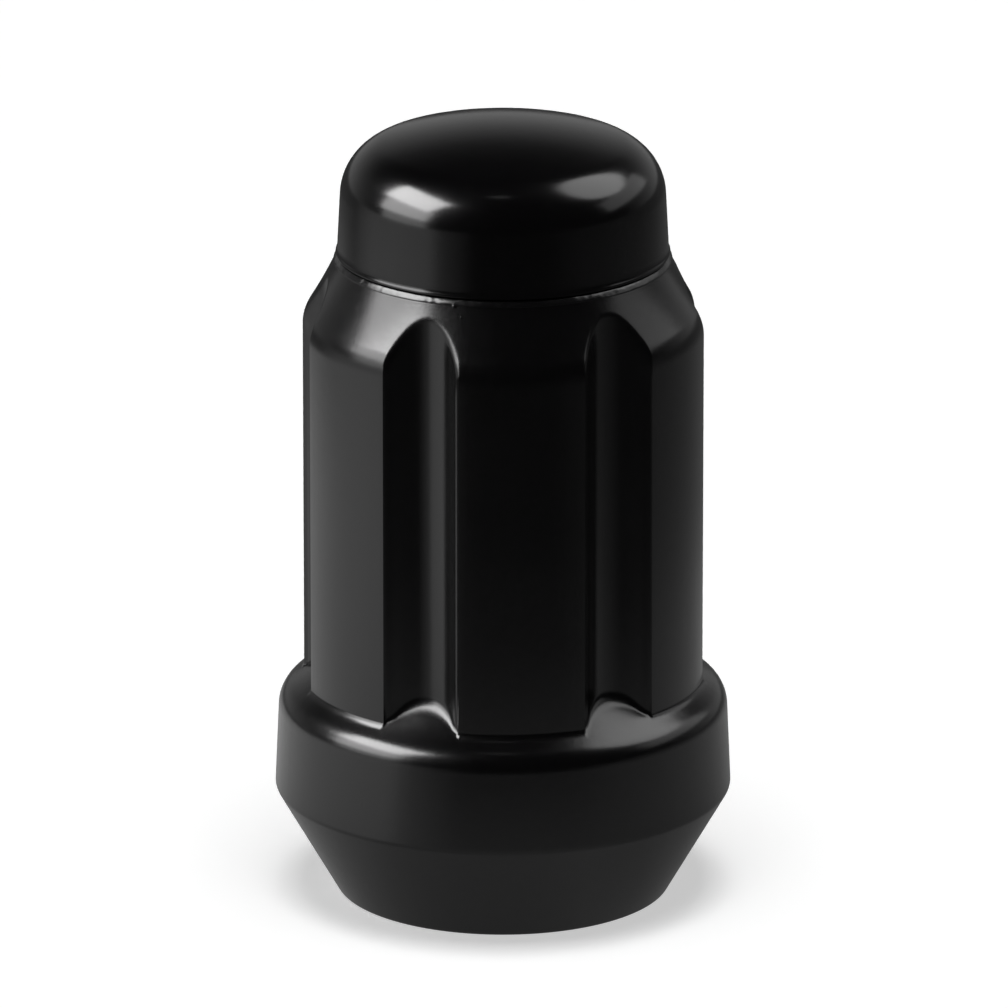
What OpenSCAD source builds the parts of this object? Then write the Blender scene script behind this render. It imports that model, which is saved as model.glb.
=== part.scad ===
// Closed-end lug nut with a fluted spline drive, a flange and a conical seat.
// Two steel pieces: the forged, tapped body and the pressed dome cap that is welded on top.
// Millimetres. The thread axis is Z and the nut stands on the tip of its seat at z = 0.
// One flute lies on the X axis, so a lobe faces straight to the front (-Y).

/* [Overall] */
// Height from the tip of the seat to the crown of the cap
overall_h = 35; // [32:0.5:50]

/* [Seat] */
// Diameter of the seat cone at its tip
seat_tip_d = 14.7; // [14.2:0.1:16]
// Included angle of the seat cone
seat_angle = 60; // [56:1:90]
// Rounding of the tip's outer edge
seat_tip_round = 0.2; // [0.1:0.05:0.35]

/* [Flange] */
// Diameter of the flange at its lower edge
flange_d = 20.2; // [19.6:0.1:22]
// Height of the flange wall, up to where the top slope would meet it
flange_h = 4.2; // [3.4:0.1:4.8]
// Draft of the flange wall
flange_draft = 2.5; // [0:0.5:5]
// Rounding of the edge between the seat cone and the flange wall
flange_low_round = 0.4; // [0.1:0.05:0.8]
// Rounding of the edge between the flange wall and the top slope
flange_top_round = 1.2; // [0.3:0.1:1.6]
// Angle of the top slope to the axis
flange_slope = 55; // [48:1:58]

/* [Spline drive] */
// Diameter over the lobes
spline_d = 17.75; // [17:0.05:18.2]
// Number of lobes, with a flute between each pair
spline_count = 6; // [5:1:7]
// Radius of the round flute
flute_r = 1.9; // [1.7:0.05:2.4]
// Depth of the flute under the lobes
flute_depth = 1.15; // [0.8:0.05:1.4]
// Rounding of the long edges of the lobes
lobe_round = 0.35; // [0.2:0.05:0.5]
// Angle to the axis of the ramp that closes the lower end of each flute
ramp_angle = 44; // [38:1:55]

/* [Shoulder] */
// Angle of the shoulder cone to the axis
shoulder_angle = 28.5; // [24:0.5:38]
// Rounding where the lobes turn into the shoulder
shoulder_round = 2.2; // [0.5:0.1:2.6]
// Diameter of the neck that carries the cap
neck_d = 14.76; // [14.7:0.02:15]
// Height of the neck
neck_h = 0.2; // [0.15:0.05:0.6]
// Bevel on the neck's top edge, the lower half of the seam groove
neck_bevel = 0.12; // [0.05:0.01:0.14]

/* [Thread] */
// Major diameter of the thread
thread_d = 12; // [11:0.5:12.5]
// Pitch of the thread
thread_pitch = 1.5; // [1.25:0.25:1.75]
// Diameter of the countersunk mouth
mouth_d = 12.9; // [12.6:0.1:13.4]
// Included angle of the countersink
mouth_angle = 90; // [80:5:120]

/* [Cap] */
// Diameter of the cap at the seam
cap_d = 14.6; // [14.3:0.02:14.66]
// Height of the cap above the seam
cap_h = 5.8; // [5.2:0.1:7]
// Thickness of the cap's sheet
cap_wall = 1.2; // [0.8:0.1:1.5]
// Draft of the cap's wall
cap_draft = 3; // [1:0.5:6]
// Rounding between the cap's wall and its crown
cap_corner_round = 2.5; // [2:0.1:2.7]
// Radius of the crown
cap_crown_r = 19.4; // [15:0.2:26]
// Bevel on the cap's lower edge, the upper half of the seam groove
cap_bevel = 0.15; // [0.05:0.01:0.25]

/* [Hidden] */
$fn = 96;

seat_tip_r = seat_tip_d / 2;
flange_r = flange_d / 2;
spline_r = spline_d / 2;
neck_r = neck_d / 2;
cap_r = cap_d / 2;
mouth_r = mouth_d / 2;
// The bore is tapped: its wall is the crest of a metric thread, 1.0825 pitches under the major diameter.
bore_r = (thread_d - 1.0825 * thread_pitch) / 2;
mouth_depth = (mouth_r - bore_r) / tan(mouth_angle / 2);

// Heights, from the seat up and from the crown down
flange_z = (flange_r - seat_tip_r) / tan(seat_angle / 2);
flange_top_z = flange_z + flange_h;
flange_top_r = flange_r - flange_h * tan(flange_draft);
seam_z = overall_h - cap_h;
neck_z = seam_z - neck_h;
shoulder_z = neck_z - (spline_r - neck_r) / tan(shoulder_angle);

// The flange's top slope turns into the ramp just inside the lobes, and the ramp ends inside the flute floors.
ramp_inset = 0.1;
core_inset = 0.5;
floor_r = spline_r - flute_depth;
ramp_r = spline_r - ramp_inset;
ramp_z = flange_top_z + (flange_top_r - ramp_r) / tan(flange_slope);
core_r = floor_r - core_inset;
core_z = ramp_z + (ramp_r - core_r) / tan(ramp_angle);
flute_x = floor_r + flute_r;

// Round edges meet their neighbours at this angle, so that the surfaces cross cleanly.
meet_angle = 6;
ease = cos(meet_angle);

// Cuts run this far past the faces that they open, and edge cutters this many times past their corner.
over = 1;
past = 1.2;

function unit(v) = v / norm(v);

// Where the lobe circle and a flute circle meet, each moved by e into the lobe
function lobe_edge(e) =
    let (a = spline_r - e, b = flute_r + e, x = (a * a + flute_x * flute_x - b * b) / (2 * flute_x))
    [x, sqrt(a * a - x * x)];

// Where the cap's wall and crown meet, both moved inwards by w
crown_z = overall_h - cap_crown_r;
function dome_edge(w) =
    let (
        t = tan(cap_draft),
        a = cap_r - w / cos(cap_draft) - t * (crown_z - seam_z),
        b = cap_crown_r - w,
        h = (a * t + sqrt(a * a * t * t - (1 + t * t) * (a * a - b * b))) / (1 + t * t)
    )
    [a - t * h, crown_z + h];

// What lies between a corner p and a round of radius r about c that touches both sides near f and g
module edge_sliver(c, f, p, g, r) {
    difference() {
        polygon([c, c + past * (f - c), c + past * (p - c), c + past * (g - c)]);
        translate(c) circle(r = r);
    }
}

// The same for a corner p between straight sides that lead to a and b
module corner_sliver(a, p, b, r) {
    u = unit(a - p);
    v = unit(b - p);
    half = acos(u * v) / 2;
    c = p + unit(u + v) * r * ease / sin(half);
    foot = r * ease / tan(half);
    edge_sliver(c, p + foot * u, p, p + foot * v, r);
}

// Half section of the seat and the flange
module seat_section() {
    tip = [seat_tip_r, 0];
    low = [flange_r, flange_z];
    top = [flange_top_r, flange_top_z];
    ramp = [ramp_r, ramp_z];
    difference() {
        polygon([[0, 0], tip, low, top, ramp, [core_r, core_z], [0, core_z]]);
        corner_sliver([0, 0], tip, low, seat_tip_round);
        corner_sliver(tip, low, top, flange_low_round);
        corner_sliver(low, top, ramp, flange_top_round);
    }
}

// Half section of the lobes, the shoulder and the neck
module barrel_section() {
    foot = [spline_r, flange_z + flange_h / 2];
    edge = [spline_r, shoulder_z];
    neck = [neck_r, neck_z];
    difference() {
        polygon([
            [0, foot[1]], foot, edge, neck,
            [neck_r, seam_z - neck_bevel], [neck_r - neck_bevel, seam_z], [0, seam_z]
        ]);
        corner_sliver(foot, edge, neck, shoulder_round);
    }
}

// Section of one flute, with the rounding of the two lobe edges beside it
module flute_section() {
    e = lobe_round * ease;
    c = lobe_edge(e);
    p = lobe_edge(0);
    f = unit(c) * spline_r;
    g = c + unit([flute_x, 0] - c) * e;
    translate([flute_x, 0]) circle(r = flute_r);
    edge_sliver(c, f, p, g, lobe_round);
    mirror([0, 1]) edge_sliver(c, f, p, g, lobe_round);
}

// Lobes and flutes, up to the land under the cap
module spline_drive() {
    difference() {
        rotate_extrude() barrel_section();
        for (i = [0:spline_count - 1]) {
            rotate([0, 0, i * 360 / spline_count]) linear_extrude(overall_h) flute_section();
        }
    }
}

// Forged body with its seat, flange, spline drive and tapped bore
module nut_body() {
    color([0.01, 0.01, 0.011]) difference() {
        union() {
            rotate_extrude() seat_section();
            spline_drive();
        }
        translate([0, 0, -over]) cylinder(h = seam_z + 2 * over, r = bore_r);
        cylinder(h = mouth_depth, r1 = mouth_r, r2 = bore_r);
    }
}

// Half section of the dome, moved inwards by w
module dome_section(w, base_z) {
    r = cap_corner_round - w;
    c = dome_edge(w + r * ease);
    p = dome_edge(w);
    out = [cos(cap_draft), sin(cap_draft)];
    wall_r = cap_r - w / cos(cap_draft);
    low_r = wall_r + (seam_z - base_z) * tan(cap_draft);
    top_r = wall_r - cap_h * tan(cap_draft);
    difference() {
        intersection() {
            polygon([[0, base_z], [low_r, base_z], [top_r, overall_h], [0, overall_h]]);
            translate([0, crown_z]) circle(r = cap_crown_r - w, $fn = 360);
        }
        edge_sliver(c, c + out * r * ease, p, c + unit(c - [0, crown_z]) * r * ease, r);
    }
}

// Pressed dome cap, open below, that stands on the land of the body
module end_cap() {
    color([0.01, 0.01, 0.011]) rotate_extrude() difference() {
        dome_section(0, seam_z);
        dome_section(cap_wall, seam_z - over);
        polygon([
            [cap_r - cap_bevel, seam_z - over], [cap_r + over, seam_z - over],
            [cap_r + over, seam_z + cap_bevel + over], [cap_r - cap_bevel, seam_z]
        ]);
    }
}

nut_body();
end_cap();
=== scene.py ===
import math

import bmesh
import bpy
from mathutils import Matrix, Vector, noise


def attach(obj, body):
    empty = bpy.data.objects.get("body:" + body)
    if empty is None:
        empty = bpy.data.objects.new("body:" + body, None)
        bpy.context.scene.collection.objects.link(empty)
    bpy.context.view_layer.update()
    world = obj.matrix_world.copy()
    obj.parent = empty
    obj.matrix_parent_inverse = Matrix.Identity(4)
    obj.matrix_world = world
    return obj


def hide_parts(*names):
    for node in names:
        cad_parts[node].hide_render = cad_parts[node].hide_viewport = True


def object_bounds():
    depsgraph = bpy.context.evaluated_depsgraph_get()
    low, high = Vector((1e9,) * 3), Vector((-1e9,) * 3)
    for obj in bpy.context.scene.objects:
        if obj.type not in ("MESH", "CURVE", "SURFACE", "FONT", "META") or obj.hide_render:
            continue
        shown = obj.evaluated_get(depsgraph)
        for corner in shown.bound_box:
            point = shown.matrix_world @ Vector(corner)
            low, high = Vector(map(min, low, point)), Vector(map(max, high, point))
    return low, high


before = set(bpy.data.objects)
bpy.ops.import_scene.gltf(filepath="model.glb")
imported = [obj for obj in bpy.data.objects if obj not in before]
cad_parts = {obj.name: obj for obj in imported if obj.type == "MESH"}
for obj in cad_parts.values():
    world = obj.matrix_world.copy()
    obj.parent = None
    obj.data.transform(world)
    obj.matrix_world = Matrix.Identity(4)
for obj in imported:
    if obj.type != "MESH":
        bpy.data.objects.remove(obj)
cadLow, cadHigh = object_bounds()
print("frame loaded:", sorted(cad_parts))

mm = 0.001
mergeGap = 1e-5  # points closer than this are one
slack = 0.001  # heights closer than this are the same


# Small helpers: the pieces are worked out in millimetres and scaled once at the end.
def clamp(x, low, high):
    return max(low, min(high, x))


def smoothStep(low, high, x):
    t = clamp((x - low) / (high - low), 0.0, 1.0)
    return t * t * (3 - 2 * t)


def softMin(a, b, k):
    h = max(k - abs(a - b), 0.0) / k
    return min(a, b) - h * h * k / 4


def softMax(a, b, k):
    return -softMin(-a, -b, k)


# A corner is a point, or a point with the radius and the steps of its rounding.
def roundedPath(corners, hold=0.06):
    path = []
    for i, corner in enumerate(corners):
        p = Vector(corner[:2])
        if len(corner) == 2:
            path.append(p)
            continue
        u = (Vector(corners[i - 1][:2]) - p).normalized()
        v = (Vector(corners[i + 1][:2]) - p).normalized()
        half = u.angle(v) / 2
        radius, steps = corner[2], corner[3]
        reach = radius / math.tan(half)
        centre = p + (u + v).normalized() * (radius / math.sin(half))
        start = p + u * reach - centre
        turn = start.angle_signed(p + v * reach - centre)
        path.append(p + u * (reach + hold))
        for s in range(steps + 1):
            path.append(centre + Matrix.Rotation(-turn * s / steps, 2) @ start)
        path.append(p + v * (reach + hold))
    return path


def spinPath(bm, path, steps, closed=False):
    verts = [bm.verts.new((p[0], 0, p[1])) for p in path]
    pairs = list(zip(verts, verts[1:] + verts[:1] if closed else verts[1:]))
    edges = [bm.edges.new(pair) for pair in pairs]
    bmesh.ops.spin(
        bm,
        geom=verts + edges,
        cent=(0, 0, 0),
        axis=(0, 0, 1),
        angle=2 * math.pi,
        steps=steps,
        use_merge=True,
    )


def finishPiece(bm, name, material, sharp=40):
    bmesh.ops.remove_doubles(bm, verts=bm.verts[:], dist=mergeGap)
    bmesh.ops.recalc_face_normals(bm, faces=bm.faces[:])
    bmesh.ops.scale(bm, vec=(mm, mm, mm), verts=bm.verts[:])
    mesh = bpy.data.meshes.new(name)
    bm.to_mesh(mesh)
    bm.free()
    mesh.shade_smooth()
    mesh.set_sharp_from_angle(angle=math.radians(sharp))
    mesh.materials.append(material)
    piece = bpy.data.objects.new(name, mesh)
    bpy.context.collection.objects.link(piece)
    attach(piece, "root")
    print(name, "made:", len(mesh.polygons), "faces")
    return piece


# Shader helpers: a value is a number, a colour or another node's output.
def link(tree, source, target):
    tree.links.new(source, target)


def calc(tree, kind, a, b, clamped=False):
    node = tree.nodes.new("ShaderNodeMath")
    node.operation = kind
    node.use_clamp = clamped
    for i, value in enumerate((a, b)):
        if isinstance(value, float):
            node.inputs[i].default_value = value
        else:
            link(tree, value, node.inputs[i])
    return node.outputs[0]


def mixColours(tree, factor, a, b):
    node = tree.nodes.new("ShaderNodeMix")
    node.data_type = "RGBA"
    link(tree, factor, node.inputs["Factor"])
    for name, value in (("A", a), ("B", b)):
        if isinstance(value, tuple):
            node.inputs[name].default_value = value
        else:
            link(tree, value, node.inputs[name])
    return node.outputs["Result"]


def toneRamp(tree, source, stops):
    node = tree.nodes.new("ShaderNodeValToRGB")
    elements = node.color_ramp.elements
    for i, (position, tone) in enumerate(stops):
        element = elements[i] if i < 2 else elements.new(position)  # a new ramp has two
        element.position = position
        element.color = (tone, tone, tone, 1)
    link(tree, source, node.inputs[0])
    return node.outputs[0]


# Satin black coat: fine grain, orange peel, blotches and drawn streaks
coatGrain = {
    "fields": {
        "fine": dict(scale=9000, detail=2, stretch=(1, 1, 1)),
        "peel": dict(scale=1700, detail=3, stretch=(1, 1, 1)),
        "blotch": dict(scale=260, detail=4, stretch=(1, 1, 1)),
        "streak": dict(scale=5200, detail=2, stretch=(1, 1, 0.02)),
    },
    "height": {"fine": 0.25, "peel": 0.9, "streak": 0.5},
    "gloss": {"blotch": 0.6, "streak": 0.5, "peel": 0.4},
}


def makeCoatGroup():
    group = bpy.data.node_groups.new("coatGrain", "ShaderNodeTree")
    for name in ("Grain", "Streaks"):
        socket = group.interface.new_socket(name, in_out="INPUT", socket_type="NodeSocketFloat")
        socket.default_value = 1.0
    for name in ("Tint", "Gloss", "Height"):
        group.interface.new_socket(name, in_out="OUTPUT", socket_type="NodeSocketFloat")
    start = group.nodes.new("NodeGroupInput")
    end = group.nodes.new("NodeGroupOutput")
    coords = group.nodes.new("ShaderNodeTexCoord")

    def grain(field):
        mapping = group.nodes.new("ShaderNodeMapping")
        mapping.inputs["Scale"].default_value = field["stretch"]
        link(group, coords.outputs["Object"], mapping.inputs["Vector"])
        tex = group.nodes.new("ShaderNodeTexNoise")
        tex.inputs["Scale"].default_value = field["scale"]
        tex.inputs["Detail"].default_value = field["detail"]
        link(group, mapping.outputs["Vector"], tex.inputs["Vector"])
        return tex.outputs["Fac"]

    fields = {kind: grain(field) for kind, field in coatGrain["fields"].items()}
    centred = calc(group, "SUBTRACT", fields["streak"], 0.5)
    fields["streak"] = calc(group, "MULTIPLY", centred, start.outputs["Streaks"])

    def blend(shares):
        total = 0.0
        for kind, share in shares.items():
            total = calc(group, "ADD", calc(group, "MULTIPLY", fields[kind], share), total)
        return total

    height = calc(group, "MULTIPLY", blend(coatGrain["height"]), start.outputs["Grain"])
    link(group, height, end.inputs["Height"])
    link(group, fields["blotch"], end.inputs["Tint"])
    link(group, blend(coatGrain["gloss"]), end.inputs["Gloss"])
    return group


coatGroup = makeCoatGroup()


def makeCoat(name, look):
    material = bpy.data.materials.new(name)
    material.use_nodes = True
    tree = material.node_tree
    shader = tree.nodes["Principled BSDF"]
    shader.inputs["IOR"].default_value = look["ior"]
    grain = tree.nodes.new("ShaderNodeGroup")
    grain.node_tree = coatGroup
    grain.inputs["Grain"].default_value = look["grain"]
    grain.inputs["Streaks"].default_value = look["streaks"]
    tint = mixColours(tree, grain.outputs["Tint"], (*look["dark"], 1), (*look["light"], 1))
    link(tree, tint, shader.inputs["Base Color"])
    rough = tree.nodes.new("ShaderNodeMapRange")
    rough.inputs["From Min"].default_value = look["gloss"][0]
    rough.inputs["From Max"].default_value = look["gloss"][1]
    rough.inputs["To Min"].default_value = look["roughness"][0]
    rough.inputs["To Max"].default_value = look["roughness"][1]
    link(tree, grain.outputs["Gloss"], rough.inputs["Value"])
    link(tree, rough.outputs["Result"], shader.inputs["Roughness"])
    bump = tree.nodes.new("ShaderNodeBump")
    bump.inputs["Strength"].default_value = look["bump"]
    bump.inputs["Distance"].default_value = look["bumpDepth"]
    link(tree, grain.outputs["Height"], bump.inputs["Height"])
    link(tree, bump.outputs["Normal"], shader.inputs["Normal"])
    return material


bodyLook = {
    "dark": (0.0012, 0.0011, 0.0013),
    "light": (0.0026, 0.0024, 0.0028),
    "gloss": (0.2, 0.8),  # this span of the group's gloss is spread over the roughness
    "roughness": (0.19, 0.26),
    "ior": 1.5,
    "grain": 1.0,
    "streaks": 1.0,
    "bump": 0.2,
    "bumpDepth": 0.00002,
}
capLook = dict(bodyLook, roughness=(0.15, 0.2), streaks=0.3, bump=0.1)
beadLook = dict(bodyLook, roughness=(0.2, 0.27), streaks=0.0, bump=0.06)
bodyCoat = makeCoat("bodyCoat", bodyLook)
capCoat = makeCoat("capCoat", capLook)
beadCoat = makeCoat("beadCoat", beadLook)
print("materials made")

# Nut body: a spun skin with the flutes pressed in, and a spun bore with its thread cut.
nut = {
    "tipR": 7.35,
    "tipRound": 0.2,
    "landR": 6.75,
    "seatAngle": math.radians(30),
    "flangeR": 10.1,
    "flangeH": 4.2,
    "flangeDraft": math.radians(2.5),
    "flangeLowRound": 0.4,
    "flangeTopRound": 1.2,
    "flangeSlope": math.radians(55),
    "rampAngle": math.radians(50),
    "rampInset": 0.1,
    "rampRound": 0.3,
    "splineR": 8.875,
    "flutes": 6,
    "fluteR": 1.9,
    "fluteDepth": 1.15,
    "edgeRound": 0.95,
    "archRound": 0.6,
    "archSpan": (-1.0, 0.4),  # round the shoulder's height, edgeRound turns into archRound
    "footRound": 0.5,
    "fluteFootRound": 1.1,
    "leastBlend": 0.004,
    "shoulderAngle": math.radians(28.5),
    "shoulderRound": 2.2,
    "shoulderHollow": 0.045,
    "neckR": 7.38,
    "neckH": 0.2,
    "seamZ": 29.2,
    # outwards from the neck and up
    "collar": ((0.024, -0.045), (0.0, 0.0), (-0.07, 0.09), (-0.18, 0.17), (-0.27, 0.2), (-0.75, 0.2)),
    "steps": 360,
    "gather": ((0, 0), (10, 7.5), (24, 13.5), (30, 30)),  # spun step in degrees and where it goes
    # rows of the pressed part: a level, how far above it they start, and how many there are to the next
    "rows": (
        ("flange", 0.42, 3),
        ("ramp", -0.36, 58),
        ("ramp", 1.9, 10),
        ("shoulder", -1.2, 26),
        ("shoulder", 0.7, 18),
        ("arch", -0.5, 24),
        ("arch", 0.25, 4),
        ("neck", -0.15, 0),
    ),
}
flangeZ = (nut["flangeR"] - nut["tipR"]) / math.tan(nut["seatAngle"])
flangeTopZ = flangeZ + nut["flangeH"]
flangeTopR = nut["flangeR"] - nut["flangeH"] * math.tan(nut["flangeDraft"])
rampR = nut["splineR"] - nut["rampInset"]
rampZ = flangeTopZ + (flangeTopR - rampR) / math.tan(nut["flangeSlope"])
neckZ = nut["seamZ"] - nut["neckH"]
shoulderZ = neckZ - (nut["splineR"] - nut["neckR"]) / math.tan(nut["shoulderAngle"])
floorR = nut["splineR"] - nut["fluteDepth"]
fluteX = floorR + nut["fluteR"]
archZ = neckZ - (floorR - nut["neckR"]) / math.tan(nut["shoulderAngle"])


def rowHeights():
    levels = {"flange": flangeTopZ, "ramp": rampZ, "shoulder": shoulderZ, "arch": archZ, "neck": neckZ}
    stops = [(levels[name] + above, count) for name, above, count in nut["rows"]]
    heights = []
    for (low, count), (high, _) in zip(stops, stops[1:]):
        heights += [low + (high - low) * i / count for i in range(count)]
    return heights + [stops[-1][0]]


def barrelR(z):
    angle, bend = nut["shoulderAngle"], nut["shoulderRound"]
    low = shoulderZ - bend * math.tan(angle / 2)
    high = low + bend * math.sin(angle)
    if z <= low:
        return nut["splineR"]
    if z < high:
        return nut["splineR"] - bend + math.sqrt(bend**2 - (z - low) ** 2)
    share = (z - high) / (neckZ - high)
    hollow = 4 * nut["shoulderHollow"] * share * (1 - share)
    return nut["splineR"] - (z - shoulderZ) * math.tan(angle) - max(hollow, 0.0)


def barrelTilt(z, step=0.01):
    return (barrelR(z - step) - barrelR(z + step)) / (2 * step)


# Radius of the flute's wall at an angle from its middle, and how steeply it falls there
def fluteShape(turn):
    reach = nut["fluteR"] ** 2 - (fluteX * math.sin(turn)) ** 2
    if reach <= 0 or math.cos(turn) < 0:
        return None
    depth = math.sqrt(reach)
    r = fluteX * math.cos(turn) - depth
    slope = fluteX * abs(math.sin(turn)) * (fluteX * math.cos(turn) / depth - 1) / nut["splineR"]
    return r, slope


# How wide two surfaces blend, so that an edge of this slope gets this radius
def blendWidth(radius, slope):
    return max(radius * slope * math.atan(slope) / (1 + math.hypot(1, slope)), nut["leastBlend"])


# Radius of the flange's top slope and of the flute's ramp above it, and their slope
def rampShape(z):
    outer, inner = math.tan(nut["flangeSlope"]), math.tan(nut["rampAngle"])
    outerR = flangeTopR - (z - flangeTopZ) * outer
    innerR = rampR - (z - rampZ) * inner
    return softMax(outerR, innerR, nut["rampRound"] * (outer - inner)), outer if z < rampZ else inner


def skinR(turn, z):
    r = barrelR(z)
    foot = nut["footRound"]
    flute = fluteShape(turn)
    if flute:
        archLow, archHigh = nut["archSpan"]
        onArch = smoothStep(shoulderZ + archLow, shoulderZ + archHigh, z)
        bend = nut["edgeRound"] + (nut["archRound"] - nut["edgeRound"]) * onArch
        pressed = softMin(r, flute[0], blendWidth(bend, math.hypot(flute[1], barrelTilt(z))))
        foot += (nut["fluteFootRound"] - foot) * smoothStep(0, nut["fluteDepth"], r - pressed)
        r = pressed
    slopeR, slope = rampShape(z)
    return softMax(r, slopeR, blendWidth(foot, slope))


# Moves the spun steps together at the lobe edges. Gives the new angle, and the one from the flute's middle.
def gather(angle):
    sector = 360 / nut["flutes"]
    middle = round(angle / math.radians(sector)) * math.radians(sector)
    part = math.degrees(angle - middle)
    side = 1 if part >= 0 else -1
    part = min(abs(part), sector / 2)
    for (low, lowTo), (high, highTo) in zip(nut["gather"], nut["gather"][1:]):
        if part <= high + slack:
            turn = lowTo + (part - low) * (highTo - lowTo) / (high - low)
            break
    return middle + side * math.radians(turn), side * math.radians(turn)


rows = rowHeights()
skin = roundedPath(
    [
        (nut["landR"], 0),
        (nut["tipR"], 0, nut["tipRound"], 5),
        (nut["flangeR"], flangeZ, nut["flangeLowRound"], 6),
        (flangeTopR, flangeTopZ, nut["flangeTopRound"], 10),
        (flangeTopR - (rows[0] - flangeTopZ) * math.tan(nut["flangeSlope"]), rows[0]),
    ]
)[:-1]
skin += [Vector((barrelR(z), z)) for z in rows]
skin += [Vector((nut["neckR"] + out, neckZ + up)) for out, up in nut["collar"]]
bm = bmesh.new()
spinPath(bm, skin, nut["steps"])
bmesh.ops.remove_doubles(bm, verts=bm.verts[:], dist=mergeGap)
for v in bm.verts:
    angle, turn = gather(math.atan2(v.co.y, v.co.x))
    r = math.hypot(v.co.x, v.co.y)
    if rows[0] - slack < v.co.z < rows[-1] + slack:
        r = skinR(turn, v.co.z)
    v.co.x, v.co.y = r * math.cos(angle), r * math.sin(angle)

thread = {
    "crestR": 5.188,
    "depth": 0.79,
    "pitch": 1.5,
    "flank": (0.2, 0.9),  # where the flank starts and ends between the crest and the root
    "mouthR": 6.45,
    "mouthBreak": 0.03,
    "steps": 96,
    "rows": ((0.1, 112), (12.1, 112), (29.0, 0)),  # fine where the mouth shows them
    "fade": (25.5, 27.0),
}


def threadR(angle, z):
    phase = (z / thread["pitch"] - angle / (2 * math.pi)) % 1.0
    away = abs(phase - 0.5) * 2
    cut = smoothStep(*thread["flank"], away)
    left = 1 - smoothStep(*thread["fade"], z)
    return max(thread["crestR"] + thread["depth"] * cut * left, thread["mouthR"] - z)


bore = [Vector((thread["mouthR"], 0))]
bore += [Vector((thread["mouthR"] - thread["mouthBreak"], thread["mouthBreak"]))]
for (low, count), (high, _) in zip(thread["rows"], thread["rows"][1:]):
    bore += [Vector((thread["crestR"], low + (high - low) * i / count)) for i in range(count)]
bore += [Vector((thread["crestR"], nut["seamZ"]))]
skinVerts = set(bm.verts)
spinPath(bm, bore, thread["steps"])
for v in bm.verts:
    if v not in skinVerts and thread["rows"][0][0] - slack < v.co.z < thread["rows"][-1][0]:
        angle = math.atan2(v.co.y, v.co.x)
        r = threadR(angle, v.co.z)
        v.co.x, v.co.y = r * math.cos(angle), r * math.sin(angle)
bmesh.ops.remove_doubles(bm, verts=bm.verts[:], dist=mergeGap)
for level in (0, nut["seamZ"]):  # flat rings between the skin and the bore
    rims = [e for e in bm.edges if e.is_boundary and all(abs(v.co.z - level) < slack for v in e.verts)]
    bmesh.ops.triangle_fill(bm, edges=rims, use_beauty=True)
nutBody = finishPiece(bm, "nutBody", bodyCoat)
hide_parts("nut_body")

# End cap: pressed dome, hollow, spun from one section
cap = {
    "baseR": 7.3,
    "topZ": cadHigh[2] / mm,
    "wall": 1.2,
    "draft": math.tan(math.radians(3)),
    "crownR": 19.4,
    "round": 2.5,
    "lip": (  # outwards from the base and up
        (-0.22, 0),
        (-0.2, 0.05),
        (-0.01, 0.07),
        (0.045, 0.1),
        (0.05, 0.14),
        (0.02, 0.2),
        (-0.005, 0.26),
        (-0.018, 0.34),
    ),
    "wallRows": (0.5, 1.0, 1.6),
    "outerSteps": 16,
    "innerSteps": 8,
    "steps": 240,
}


def domePath(inset, steps):
    crownZ = cap["topZ"] - cap["crownR"]
    slant = math.sqrt(1 + cap["draft"] ** 2)

    def meet(depth):
        t = cap["draft"]
        a = cap["baseR"] - depth * slant - t * (crownZ - nut["seamZ"])
        b = cap["crownR"] - depth
        q = 1 + t * t
        h = (a * t + math.sqrt(a * a * t * t - q * (a * a - b * b))) / q
        return Vector((a - t * h, crownZ + h))

    radius = cap["round"] - inset
    centre = meet(cap["round"])
    out = Vector((1, cap["draft"])).normalized()
    up = (centre - Vector((0, crownZ))).normalized()
    turn = math.acos(out.dot(up))
    path = []
    wallR = cap["baseR"] - inset * slant
    for rise in cap["wallRows"]:
        path.append(Vector((wallR - cap["draft"] * rise, nut["seamZ"] + rise)))
    for i in range(steps + 1):
        a = math.atan2(out.y, out.x) + turn * i / steps
        path.append(centre + Vector((math.cos(a), math.sin(a))) * radius)
    tilt = math.asin(up.x)
    for i in range(1, steps + 1):
        a = tilt * (1 - i / steps)
        reach = cap["crownR"] - inset
        path.append(Vector((reach * math.sin(a), crownZ + reach * math.cos(a))))
    path[-1].x = 0  # closes the pole
    return path


lip = [Vector((cap["baseR"] + out, nut["seamZ"] + up)) for out, up in cap["lip"]]
outside = lip + domePath(0, cap["outerSteps"])
inside = domePath(cap["wall"], cap["innerSteps"])
innerLip = Vector((cap["baseR"] - cap["wall"], nut["seamZ"]))
bm = bmesh.new()
spinPath(bm, list(reversed(inside)) + [innerLip] + outside, cap["steps"])
endCap = finishPiece(bm, "endCap", capCoat)
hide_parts("end_cap")

# Weld bead: an uneven flat band in the seam under the cap, with a few drops of spatter
bead = {
    "inset": 0.05,  # from the neck
    "rise": 0.07,
    "lean": math.radians(34),
    "halfWidth": 0.16,
    "halfDepth": 0.05,
    "square": 0.6,
    "steps": 900,
    "sides": 20,
    "lumps": ((1.2, 0.5), (4.0, 0.25)),
    "sharp": 80,
    "spatter": (  # azimuth in degrees from the front, height and size
        (-22.3, 28.94, 0.1),
        (-19.4, 28.52, 0.055),
        (-29.3, 31.1, 0.045),
        (151.0, 28.9, 0.07),
        (78.0, 30.6, 0.04),
    ),
    "dropSteps": 2,
}


# Radius of the outside that a drop sits on
def outsideR(z):
    if z < nut["seamZ"]:
        return max(barrelR(z), nut["neckR"])
    return cap["baseR"] - cap["draft"] * (z - nut["seamZ"])


def squared(x):
    return math.copysign(abs(x) ** bead["square"], x)


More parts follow.
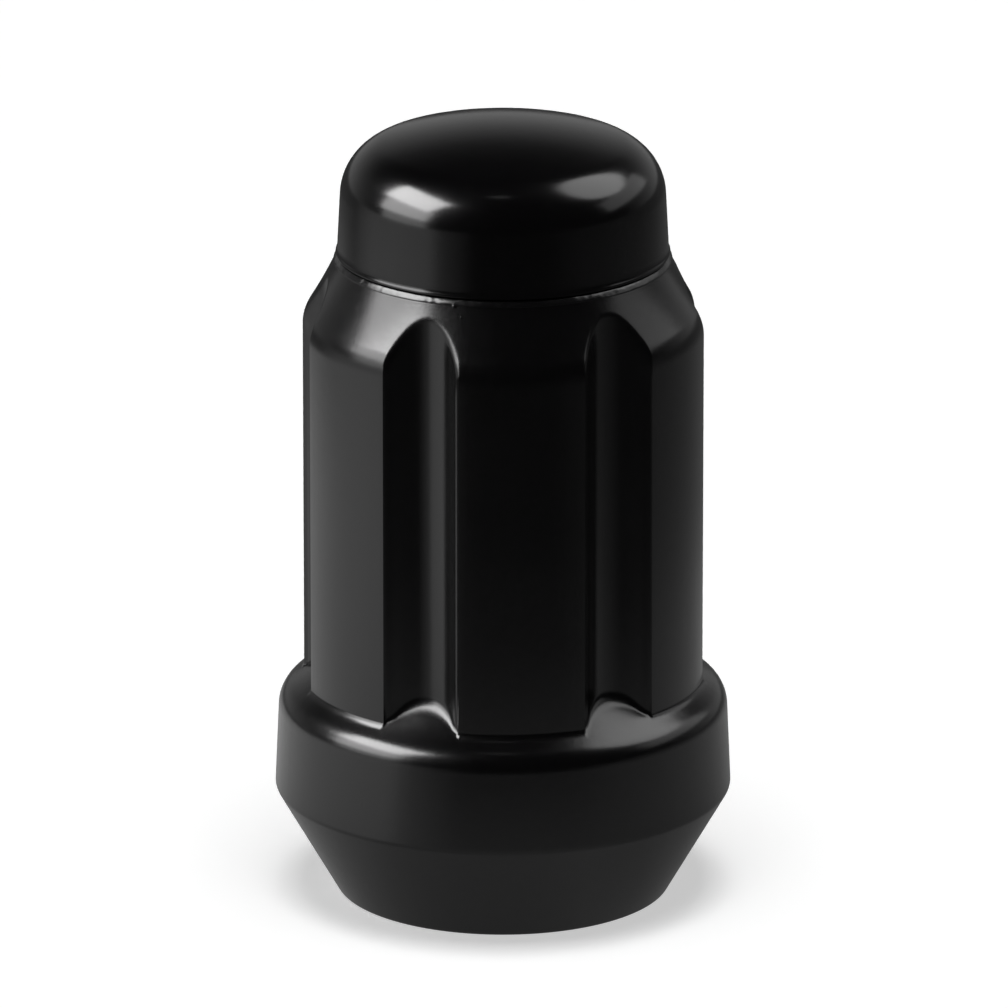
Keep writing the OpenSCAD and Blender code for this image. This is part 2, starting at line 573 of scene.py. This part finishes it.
bm = bmesh.new()
middle = Vector((nut["neckR"] - bead["inset"], 0, neckZ + bead["rise"]))
along = Vector((-math.sin(bead["lean"]), 0, math.cos(bead["lean"])))
proud = Vector((math.cos(bead["lean"]), 0, math.sin(bead["lean"])))
loop = []
for i in range(bead["sides"]):
    a = 2 * math.pi * i / bead["sides"]
    wide = squared(math.cos(a)) * bead["halfWidth"]
    deep = squared(math.sin(a)) * bead["halfDepth"]
    p = middle + along * wide + proud * deep
    loop.append(Vector((p.x, p.z)))
spinPath(bm, loop, bead["steps"], closed=True)
for v in bm.verts:
    turned = Matrix.Rotation(math.atan2(v.co.y, v.co.x), 3, "Z")
    ring = turned @ middle
    outward = turned @ proud
    rise = (v.co - ring).dot(outward)
    if rise > 0:
        lump = sum(noise.noise(v.co * scale) * share for scale, share in bead["lumps"])
        v.co += outward * rise * lump
for azimuth, height, size in bead["spatter"]:
    drop = bmesh.ops.create_icosphere(bm, subdivisions=bead["dropSteps"], radius=size)["verts"]
    spot = Matrix.Translation((outsideR(height), 0, height))
    place = Matrix.Rotation(math.radians(azimuth - 90), 4, "Z") @ spot
    bmesh.ops.transform(bm, matrix=place, verts=drop)
finishPiece(bm, "weldBead", beadCoat, sharp=bead["sharp"])

# Stage: soft boxes on both sides, an overhead lamp, a pale floor and a dark room
photo = {
    "azimuth": math.radians(-5.6),
    "elevation": 18.0,
    "distance": 650,
    "aimZ": 17.59,
    "picture": 1008,
    "pixelsPerMm": 22.655,
    "axisX": 503.0,
    "sensor": 36,
    "clip": (0.01, 10),
}
target = Vector((0, 0, photo["aimZ"] * mm))

# Degrees from the camera to the right and up, metres, and brightness
boxes = {
    "leftBox": dict(azimuth=-80, elevation=42, width=0.37, height=0.21, level=15.0),
    "leftSkirt": dict(azimuth=-76, elevation=21, width=0.37, height=0.158, level=6.5),
    "leftLow": dict(azimuth=-74, elevation=6, width=0.34, height=0.1, level=2.0),
    "rightBox": dict(azimuth=110, elevation=50, width=0.4, height=0.33, level=2.9, shape="ELLIPSE"),
    "rightSkirt": dict(azimuth=107, elevation=24, width=0.47, height=0.158, level=0.8),
    "topDot": dict(azimuth=-6, elevation=76, width=0.07, height=0.03, level=0.8),
}
overhead = dict(azimuth=0, elevation=82, width=1.0, height=1.0, level=7.2, distance=1.8)


def aim(azimuth, elevation, distance):
    a, e = photo["azimuth"] + math.radians(azimuth), math.radians(elevation)
    way = Vector((math.sin(a) * math.cos(e), -math.cos(a) * math.cos(e), math.sin(e)))
    return target + way * distance


def addLamp(name, azimuth, elevation, width, height, level, distance=0.5, shape="RECTANGLE"):
    lamp = bpy.data.lights.new(name, "AREA")
    lamp.shape = shape
    lamp.size, lamp.size_y = width, height
    lamp.energy = level * math.pi * width * height * (math.pi / 4 if shape == "ELLIPSE" else 1)
    rig = bpy.data.objects.new(name, lamp)
    rig.location = aim(azimuth, elevation, distance)
    rig.rotation_euler = (target - rig.location).to_track_quat("-Z", "Y").to_euler()
    bpy.context.collection.objects.link(rig)
    return rig


for name, box in boxes.items():
    addLamp(name, **box).visible_diffuse = False  # these only shine in the coat
addLamp("overhead", **overhead).visible_glossy = False  # this one lights the colours and the floor


def stageDisc(name, look, material):
    bm = bmesh.new()
    a = bm.verts.new((look["inner"], 0, look["z"]))
    b = bm.verts.new((look["outer"], 0, look["z"]))
    edge = bm.edges.new((a, b))
    bmesh.ops.spin(
        bm,
        geom=[a, b, edge],
        cent=(0, 0, 0),
        axis=(0, 0, 1),
        angle=2 * math.pi,
        steps=look["steps"],
        use_merge=True,
    )
    bmesh.ops.remove_doubles(bm, verts=bm.verts[:], dist=mergeGap * mm)
    bm.normal_update()
    bmesh.ops.reverse_faces(bm, faces=[f for f in bm.faces if f.normal.z < 0])
    mesh = bpy.data.meshes.new(name)
    bm.to_mesh(mesh)
    bm.free()
    mesh.materials.append(material)
    disc = bpy.data.objects.new(name, mesh)
    bpy.context.collection.objects.link(disc)
    return disc


paleFloor = {"inner": 0.0, "outer": 1.4, "z": -0.00002, "steps": 96, "tone": 0.75, "glow": 0.54}


# Pale from above and clear from below
def makeFloorMaterial():
    material = bpy.data.materials.new("paleFloor")
    material.use_nodes = True
    tree = material.node_tree
    tree.nodes.clear()
    diffuse = tree.nodes.new("ShaderNodeBsdfDiffuse")
    diffuse.inputs["Color"].default_value = (paleFloor["tone"], paleFloor["tone"], paleFloor["tone"], 1)
    path = tree.nodes.new("ShaderNodeLightPath")
    seen = calc(tree, "ADD", path.outputs["Is Camera Ray"], path.outputs["Is Glossy Ray"], clamped=True)
    seen = calc(tree, "ADD", seen, path.outputs["Is Transmission Ray"], clamped=True)
    glow = tree.nodes.new("ShaderNodeEmission")
    link(tree, calc(tree, "MULTIPLY", seen, paleFloor["glow"]), glow.inputs["Strength"])
    both = tree.nodes.new("ShaderNodeAddShader")
    link(tree, diffuse.outputs[0], both.inputs[0])
    link(tree, glow.outputs[0], both.inputs[1])
    clear = tree.nodes.new("ShaderNodeBsdfTransparent")
    side = tree.nodes.new("ShaderNodeNewGeometry")
    mix = tree.nodes.new("ShaderNodeMixShader")
    link(tree, side.outputs["Backfacing"], mix.inputs[0])
    link(tree, both.outputs[0], mix.inputs[1])
    link(tree, clear.outputs[0], mix.inputs[2])
    out = tree.nodes.new("ShaderNodeOutputMaterial")
    link(tree, mix.outputs[0], out.inputs["Surface"])
    return material


stageDisc("floor", paleFloor, makeFloorMaterial())

# Glowing card round the nut, seen only in the coat's reflections. It is painted reflection: dark in front,
# bright to the left, dim to the right, with painted shadow close to the foot.
# Tones go by the distance from the axis in metres, shares by the azimuth in degrees.
paintedReflection = {
    "inner": 0.0072,
    "outer": 1.4,
    "z": 0.00001,
    "steps": 96,
    "reach": 0.15,
    # the low tones next to the axis are painted shadow under the nut, and the dark far front is a painted
    # dark room
    "front": (
        (0.0072, 0.28),
        (0.02, 0.32),
        (0.031, 0.28),
        (0.038, 0.2),
        (0.046, 0.08),
        (0.06, 0.045),
        (0.14, 0.025),
    ),
    "left": ((0.0072, 0.26), (0.014, 0.38), (0.027, 0.8), (0.045, 0.95), (0.07, 1.05), (0.15, 0.7)),
    "right": ((0.0072, 0.14), (0.014, 0.2), (0.03, 0.31), (0.045, 0.29), (0.06, 0.17), (0.15, 0.08)),
    "leftShare": (
        (-172, 0.0),
        (-142, 0.55),
        (-116, 0.75),
        (-97, 0.86),
        (-80, 1.0),
        (-52, 1.0),
        (-43, 0.35),
        (-20, 0.0),
    ),
    "farFade": ((0.07, 1.0), (0.12, 0.2)),
    "farShare": ((-130, 0.0), (-100, 0.9), (-80, 1.0)),
    "rightShare": ((-180, 0.3), (-150, 0.0), (30, 0.0), (58, 0.7), (90, 1.0), (140, 1.0), (180, 0.3)),
}


def makePaintedReflectionMaterial():
    material = bpy.data.materials.new("paintedReflectionCard")
    material.use_nodes = True
    tree = material.node_tree
    tree.nodes.clear()
    coords = tree.nodes.new("ShaderNodeTexCoord")
    away = tree.nodes.new("ShaderNodeVectorMath")
    away.operation = "LENGTH"
    link(tree, coords.outputs["Object"], away.inputs[0])
    distance = calc(tree, "DIVIDE", away.outputs["Value"], paintedReflection["reach"])
    turned = tree.nodes.new("ShaderNodeMapping")
    turned.inputs["Rotation"].default_value = (0, 0, math.pi / 2 - photo["azimuth"])
    link(tree, coords.outputs["Object"], turned.inputs["Vector"])
    radial = tree.nodes.new("ShaderNodeTexGradient")
    radial.gradient_type = "RADIAL"
    link(tree, turned.outputs["Vector"], radial.inputs["Vector"])

    def byDistance(name):
        return toneRamp(tree, distance, [(r / paintedReflection["reach"], tone) for r, tone in paintedReflection[name]])

    def byAzimuth(name):
        return toneRamp(tree, radial.outputs["Fac"], [(0.5 + a / 360, share) for a, share in paintedReflection[name]])

    far = calc(tree, "MAXIMUM", byDistance("farFade"), byAzimuth("farShare"))
    leftShare = calc(tree, "MULTIPLY", far, byAzimuth("leftShare"))
    seen = mixColours(tree, leftShare, byDistance("front"), byDistance("left"))
    seen = mixColours(tree, byAzimuth("rightShare"), seen, byDistance("right"))
    # the card glows with these painted light and shade tones instead of being lit
    glow = tree.nodes.new("ShaderNodeEmission")
    link(tree, seen, glow.inputs["Color"])
    out = tree.nodes.new("ShaderNodeOutputMaterial")
    link(tree, glow.outputs[0], out.inputs["Surface"])
    return material


# painted reflection card: it glows, and only reflections see it, not the camera, shadows or diffuse light
card = stageDisc("paintedReflectionCard", paintedReflection, makePaintedReflectionMaterial())
card.visible_camera = False
card.visible_shadow = False
card.visible_diffuse = False

# Room: white to the camera, and dark with a glow at the back to everything else
room = {
    "dark": 0.014,
    # tones by the sine of the elevation
    "back": ((0.0, 0.36), (0.2, 0.3), (0.34, 0.2), (0.5, 0.05), (0.65, 0.014)),
    "backFrom": 0.1,
    "backTo": 0.8,
}


def makeRoom():
    world = bpy.data.worlds.new("darkRoom")
    bpy.context.scene.world = world
    world.use_nodes = True
    tree = world.node_tree
    coords = tree.nodes.new("ShaderNodeTexCoord")
    split = tree.nodes.new("ShaderNodeSeparateXYZ")
    link(tree, coords.outputs["Generated"], split.inputs[0])
    glow = toneRamp(tree, split.outputs["Z"], room["back"])
    facing = tree.nodes.new("ShaderNodeVectorMath")
    facing.operation = "DOT_PRODUCT"
    facing.inputs[1].default_value = (-math.sin(photo["azimuth"]), math.cos(photo["azimuth"]), 0)
    link(tree, coords.outputs["Generated"], facing.inputs[0])
    behind = tree.nodes.new("ShaderNodeMapRange")
    behind.inputs["From Min"].default_value = room["backFrom"]
    behind.inputs["From Max"].default_value = room["backTo"]
    link(tree, facing.outputs["Value"], behind.inputs["Value"])
    dark = (room["dark"], room["dark"], room["dark"], 1)
    lit = mixColours(tree, behind.outputs["Result"], dark, glow)
    path = tree.nodes.new("ShaderNodeLightPath")
    seen = mixColours(tree, path.outputs["Is Camera Ray"], lit, (1, 1, 1, 1))
    link(tree, seen, tree.nodes["Background"].inputs["Color"])


makeRoom()
print("stage made")

# Camera at the photo's angle
camera = bpy.data.cameras.new("photoCamera")
camera.sensor_width = photo["sensor"]
camera.lens = photo["pixelsPerMm"] * photo["distance"] / photo["picture"] * photo["sensor"]
camera.shift_x = 0.5 - photo["axisX"] / photo["picture"]
camera.clip_start, camera.clip_end = photo["clip"]
cameraRig = bpy.data.objects.new("photoCamera", camera)
cameraRig.location = aim(0, photo["elevation"], photo["distance"] * mm)
cameraRig.rotation_euler = (target - cameraRig.location).to_track_quat("-Z", "Y").to_euler()
bpy.context.collection.objects.link(cameraRig)
bpy.context.scene.camera = cameraRig
bpy.context.scene.view_settings.view_transform = "Standard"
print("camera made")
